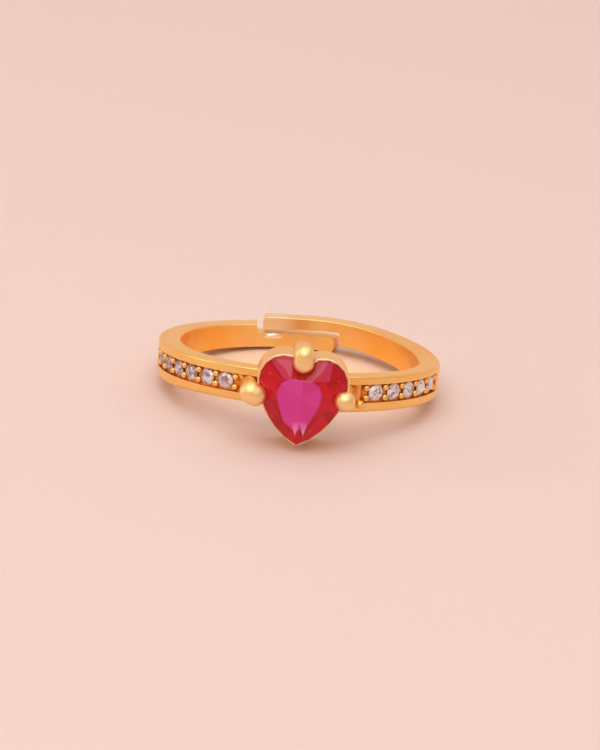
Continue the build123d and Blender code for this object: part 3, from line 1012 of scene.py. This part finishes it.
@dataclass(frozen=True)
class RimBead(Form):
    """Burnished edge of the collet, a fine round bead along its rim.

    The bead is narrow up to the share `swell_from` of the heart's height and reaches its full
    width `swell_over` higher.
    """

    outline: HeartOutline = HeartOutline()
    grow: float = 0.000068
    lift: float = 0.000025
    depth: float = 0.01155
    fall: float = 0.00025
    wide: float = 0.000046
    narrow: float = 0.000022
    swell_from: float = 0.35
    swell_over: float = 0.4
    steps: int = 150
    sides: int = 12

    def points(self) -> np.ndarray:
        """A circle carried round the heart, thick at the lobes and fine at the tip.

        Surface(way, angle) = path point + radius * (cos angle * outward + sin angle * forward),
        and the radius and the depth follow the point's height between the tip and the lobes.

        Returns:
            World points of shape (points round the heart, sides, 3).
        """
        path, out = self.outline.path(self.grow, self.steps)
        share = np.clip((path[:, 1] + self.outline.height / 2) / self.outline.height, 0.0, 1.0)
        swollen = np.clip((share - self.swell_from) / self.swell_over, 0.0, 1.0)
        radius = self.narrow + (self.wide - self.narrow) * swollen
        depth = self.depth - self.fall * (1.0 - share)
        angle = np.linspace(0.0, 2 * np.pi, self.sides, endpoint=False)
        ring = radius[:, None] * np.cos(angle)
        flat = path[:, None, :] + ring[..., None] * out[:, None, :] + np.array([0.0, self.lift])
        return self.outline.place(flat, depth[:, None] + radius[:, None] * np.sin(angle))


@dataclass(frozen=True)
class BrightCut(Form):
    """Cut ridge on the channel's floor between the collet and the first grains of one shoulder."""

    side: Side
    lean: float
    middle: float = 0.0
    middle_arc: float = 0.00405
    reach: float = 0.00034
    rise: float = 0.00019
    sharpness: float = 0.8
    sunk: float = 0.00002
    under: float = 0.00003
    half_height: float = 0.00058
    floor_radius: float = 0.00942
    steps: tuple[int, int] = (49, 33)

    def points(self) -> np.ndarray:
        """A low roof whose crest leans across the channel.

        Surface(arc, height): height above the floor = rise * (1 - |arc - crest| / reach) to the
        power sharpness, less sunk, where the crest's arc moves by lean times the height; below
        the roof the surface runs back just under the floor, so that the piece is closed.

        Returns:
            World points of shape (rows up the channel and two ends, there and back along it, 3).
        """
        along, up = self.steps
        beside = np.linspace(-1.0, 1.0, along)
        height = np.linspace(-1.0, 1.0, up) * self.half_height
        roof = self.rise * (1.0 - np.abs(beside)) ** self.sharpness
        loop_beside = np.concatenate([beside, beside[::-1]])
        loop_lift = np.concatenate([roof - self.sunk, np.full_like(roof, -self.under)])
        arc = self.middle_arc + self.lean * height[:, None] + self.reach * loop_beside
        angle = arc / RING.outer_radius
        distance = self.floor_radius + np.broadcast_to(loop_lift, angle.shape)
        local = np.stack([
            self.side.value * distance * np.sin(angle),
            RING.swell - distance * np.cos(angle),
            np.broadcast_to(self.middle + height[:, None], angle.shape)], axis=-1)
        ends = local[[0, -1]].mean(axis=1, keepdims=True)
        local = np.concatenate([
            np.broadcast_to(ends[:1], local[:1].shape), local, np.broadcast_to(ends[1:], local[:1].shape)])
        return RING.to_world(local)


@dataclass(frozen=True)
class BurnishDome(Form):
    """Low burnished dome on the finger's wall, beside the split's left corner."""

    middle: float = -0.00172
    level: float = -0.00002
    wide: float = 0.00082
    tall: float = 0.00024
    rise: float = 0.00009
    sunk: float = 0.00003
    steps: tuple[int, int] = (33, 48)

    def points(self) -> np.ndarray:
        """An ellipse laid on the wall's cylinder, swollen towards the finger.

        With s = sin(pi * t) for t from 0 to 1 and an angle round it, the place is x = middle +
        wide * s * cos, z = level + tall * s * sin; the height above the wall is rise times the
        square of 1 - s * s while t is under a half, and after that the surface runs back below
        the wall. Both poles are welded.

        Returns:
            World points of shape (rows, columns, 3).
        """
        rows, columns = self.steps
        half_way = 0.5
        way = np.linspace(0.0, 1.0, rows)[:, None]
        around = np.linspace(0.0, 2 * np.pi, columns, endpoint=False)[None, :]
        share = np.sin(np.pi * way)
        lift = np.where(way < half_way, self.rise * (1 - share**2) ** 2, 0.0) - self.sunk * way
        x = self.middle + self.wide * share * np.cos(around)
        z = self.level + self.tall * share * np.sin(around)
        reach = RING.finger_radius - np.broadcast_to(lift, x.shape)
        return RING.to_world(np.stack([x, np.sqrt(reach**2 - x**2), z], axis=-1))


@dataclass(frozen=True)
class SolderLump(Form):
    """Smooth lump of solder between a claw and the rails of its shoulder."""

    middle: Triple
    radii: Triple
    lean: float
    wave: float = 0.07
    crests: int = 3
    steps: tuple[int, int] = (17, 28)

    def points(self) -> np.ndarray:
        """An ellipsoid of two angles, leaned about the ring's front direction.

        Surface(up, round) = middle + radii * (cos up * cos round, cos up * sin round, sin up),
        with a low wave of a few crests round it; both poles are welded.

        Returns:
            World points of shape (rows, columns, 3).
        """
        rows, columns = self.steps
        up = np.linspace(-np.pi / 2, np.pi / 2, rows)[:, None]
        around = np.linspace(0.0, 2 * np.pi, columns, endpoint=False)[None, :]
        wave = 1.0 + self.wave * np.sin(self.crests * around) * np.cos(up) ** 2
        ball = np.stack([
            wave * np.cos(up) * np.cos(around), wave * np.cos(up) * np.sin(around),
            np.broadcast_to(np.sin(up), (rows, columns))], axis=-1) * np.array(self.radii)
        c, s = np.cos(self.lean), np.sin(self.lean)
        turn = np.array([[c, 0, s], [0, 1, 0], [-s, 0, c]])
        return RING.to_world(ball @ turn.T + np.array(self.middle))


# The ring


def dress(node: str, material: Material) -> None:
    """Gives a CAD node its finish.

    Args:
        node: Name of the CAD node.
        material: The finish.
    """
    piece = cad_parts[node]
    for place in piece.material_slots:
        place.material = material
    if not piece.material_slots:
        piece.data.materials.append(material)
    LOG.info("dressed %s in %s, %d faces", node, material.name, len(piece.data.polygons))


@dataclass(frozen=True)
class Metalwork:
    """The one piece of metal, which is band, collet and claws, and the small forms added to it."""

    finish: GoldFinish = GoldFinish()
    # painted highlight: a paler copy of the gold for the rim bead and the burnished dome
    burnished: GoldFinish = GoldFinish(
        name="gold_painted_highlight", base=(1.0, 0.80, 0.54), pale=(1.0, 0.88, 0.72), claw=(1.0, 0.84, 0.64),
        rear_sheen=(1.0, 0.93, 0.80), inner=(1.0, 0.80, 0.54), roughness=0.27, corner_shade_share=0.2)
    bead: Form = RimBead("rim_bead")
    dome: Form = BurnishDome("burnish_dome")
    gold_forms: tuple[Form, ...] = (
        BrightCut("bright_cut_left", Side.LEFT, lean=0.55),
        BrightCut("bright_cut_right", Side.RIGHT, lean=0.05, middle=-0.00012),
        SolderLump("solder_right", (0.00396, -0.00890, -0.00082), (0.00034, 0.00032, 0.00030), 0.5),
        SolderLump("solder_left", (-0.00378, -0.00886, -0.00072), (0.00030, 0.00026, 0.00024), -0.5))

    def build(self, effects: Effects) -> None:
        """Dresses the metal and adds its small forms.

        Args:
            effects: The shared node groups.
        """
        gold = self.finish.material(effects)
        dress("shank", gold)
        burnished = self.burnished.material(effects)
        self.bead.build(burnished, closed_u=True)
        self.dome.build(burnished)
        for form in self.gold_forms:
            form.build(gold)


@dataclass(frozen=True)
class Stones:
    """The heart stone and the round stones of both shoulders."""

    heart_finish: RedStoneFinish = RedStoneFinish()
    # lit and shaded copies of one clear stone: painted lighter on the right, darker on the left
    left_finish: ClearStoneFinish = ClearStoneFinish("clear_cut_left", (0.26, 0.40, 0.54, 0.70))
    shaded_finish: ClearStoneFinish = ClearStoneFinish("clear_cut_shaded", (0.46, 0.60, 0.74, 0.92))
    right_finish: ClearStoneFinish = ClearStoneFinish("clear_cut_right", (0.10, 0.22, 0.34, 0.48))
    left_count: int = 6
    right_count: int = 5
    shaded_from: int = 4

    def build(self, effects: Effects) -> None:
        """Dresses every stone; on the left those from number `shaded_from` on are darker.

        Args:
            effects: The shared node groups.
        """
        dress("heart_stone", self.heart_finish.material(effects))
        left = self.left_finish.material(effects)
        shaded = self.shaded_finish.material(effects)
        for number in range(1, self.left_count + 1):
            dress(f"left_stone_{number}", left if number < self.shaded_from else shaded)
        right = self.right_finish.material(effects)
        for number in range(1, self.right_count + 1):
            dress(f"right_stone_{number}", right)


# Floor, light and camera


@dataclass(frozen=True)
class Softbox:
    """A rectangular soft light that faces the ring."""

    name: str
    place: Triple
    size: tuple[float, float]
    power: float
    colour: Triple = (1.0, 0.97, 0.94)

    def build(self, target: Vector) -> None:
        """Adds the light.

        Args:
            target: Point that the light faces.
        """
        data = bpy.data.lights.new(self.name, "AREA")
        data.shape = "RECTANGLE"
        data.size, data.size_y = self.size
        data.energy = self.power
        data.color = self.colour
        lamp = bpy.data.objects.new(self.name, data)
        bpy.context.scene.collection.objects.link(lamp)
        lamp.location = self.place
        lamp.rotation_euler = (target - Vector(self.place)).to_track_quat("-Z", "Y").to_euler()


@dataclass(frozen=True)
class Studio:
    """Floor, lights, surroundings and camera.

    Elevation, yaw and roll are in degrees and lengths in metres. The camera's focal length,
    the image and the ring's place in it are in pixels of the photograph.
    """

    floor: FloorFinish = FloorFinish()
    floor_half: float = 0.6
    floor_steps: int = 9
    elevation: float = 20.05
    yaw: float = 1.85
    roll: float = 4.8
    distance: float = 0.22
    focal_pixels: float = 3190.0
    image: tuple[int, int] = (600, 750)
    ring_at: tuple[float, float] = (299.0, 360.7)
    clip: tuple[float, float] = (0.01, 10.0)
    boxes: tuple[Softbox, ...] = (
        Softbox("front_top_light", (-0.08, -0.26, 0.42), (0.52, 0.40), 1.15),
        Softbox("top_light", (0.02, 0.10, 0.50), (0.60, 0.46), 0.66),
        Softbox("left_light", (-0.42, 0.02, 0.16), (0.16, 0.26), 0.19))
    front_colour: Triple = (0.78, 0.56, 0.42)
    back_colour: Triple = (1.22, 0.90, 0.68)
    top_colour: Triple = (0.92, 0.80, 0.76)
    back_range: tuple[float, float] = (-1.0, 0.8)
    top_range: tuple[float, float] = (0.1, 0.9)
    surround_strength: float = 0.70

    def build(self, effects: Effects) -> None:
        """Builds all of it.

        Args:
            effects: The shared node groups.
        """
        self._floor(effects)
        for box in self.boxes:
            box.build(Vector(RING.centre))
        self._surround()
        bpy.context.scene.view_settings.view_transform = "Standard"
        self._camera()

    def _floor(self, effects: Effects) -> None:
        """Floor: a flat grid of two parameters, x and y over a square, at Z = 0.

        Args:
            effects: The shared node groups.
        """
        way = np.linspace(-1, 1, self.floor_steps) * self.floor_half
        x, y = np.meshgrid(way, way, indexing="ij")
        new = grid_mesh("floor", np.stack([x, y, np.zeros_like(x)], axis=-1))
        new.data.materials.append(self.floor.material(effects))

    def _surround(self) -> None:
        """Surround: warm and dim in front of the ring, bright behind it, pale overhead."""
        world = bpy.data.worlds.new("surround")
        bpy.context.scene.world = world
        world.use_nodes = True
        world.node_tree.nodes.clear()
        sheet = NodeSheet(world.node_tree)
        way = sheet.split(sheet.node("ShaderNodeTexCoord").outputs["Generated"])
        round_about = sheet.mix(sheet.span(way[1], *self.back_range), self.front_colour, self.back_colour)
        colour = sheet.mix(sheet.span(way[2], *self.top_range), round_about, self.top_colour)
        shade = sheet.node("ShaderNodeBackground", {0: colour, 1: self.surround_strength})
        sheet.node("ShaderNodeOutputWorld", {"Surface": shade.outputs[0]})

    def _camera(self) -> None:
        """Camera at the photograph's angle: aimed at the ring's centre, rolled, and shifted to frame it."""
        data = bpy.data.cameras.new("camera")
        camera = bpy.data.objects.new("camera", data)
        bpy.context.scene.collection.objects.link(camera)
        target = Vector(RING.centre)
        up, side, roll = (np.radians(angle) for angle in (self.elevation, self.yaw, self.roll))
        back = Vector((-np.cos(up) * np.sin(side), -np.cos(up) * np.cos(side), np.sin(up)))
        right = Vector((0, 0, 1)).cross(back).normalized()
        top = back.cross(right)
        turned_right = right * np.cos(roll) + top * np.sin(roll)
        turned_top = top * np.cos(roll) - right * np.sin(roll)
        camera.matrix_world = Matrix.Translation(target + back * self.distance) @ Matrix(
            (turned_right, turned_top, back)).transposed().to_4x4()
        long_side = max(self.image)
        data.lens = self.focal_pixels * data.sensor_width / long_side
        data.shift_x = (self.image[0] / 2 - self.ring_at[0]) / long_side
        data.shift_y = (self.ring_at[1] - self.image[1] / 2) / long_side
        data.clip_start, data.clip_end = self.clip
        bpy.context.scene.camera = camera


def main() -> None:
    """Builds the scene in order: shared effects, metal, stones, studio."""
    effects = Effects()
    Metalwork().build(effects)
    Stones().build(effects)
    Studio().build(effects)


if __name__ == "__main__":
    main()
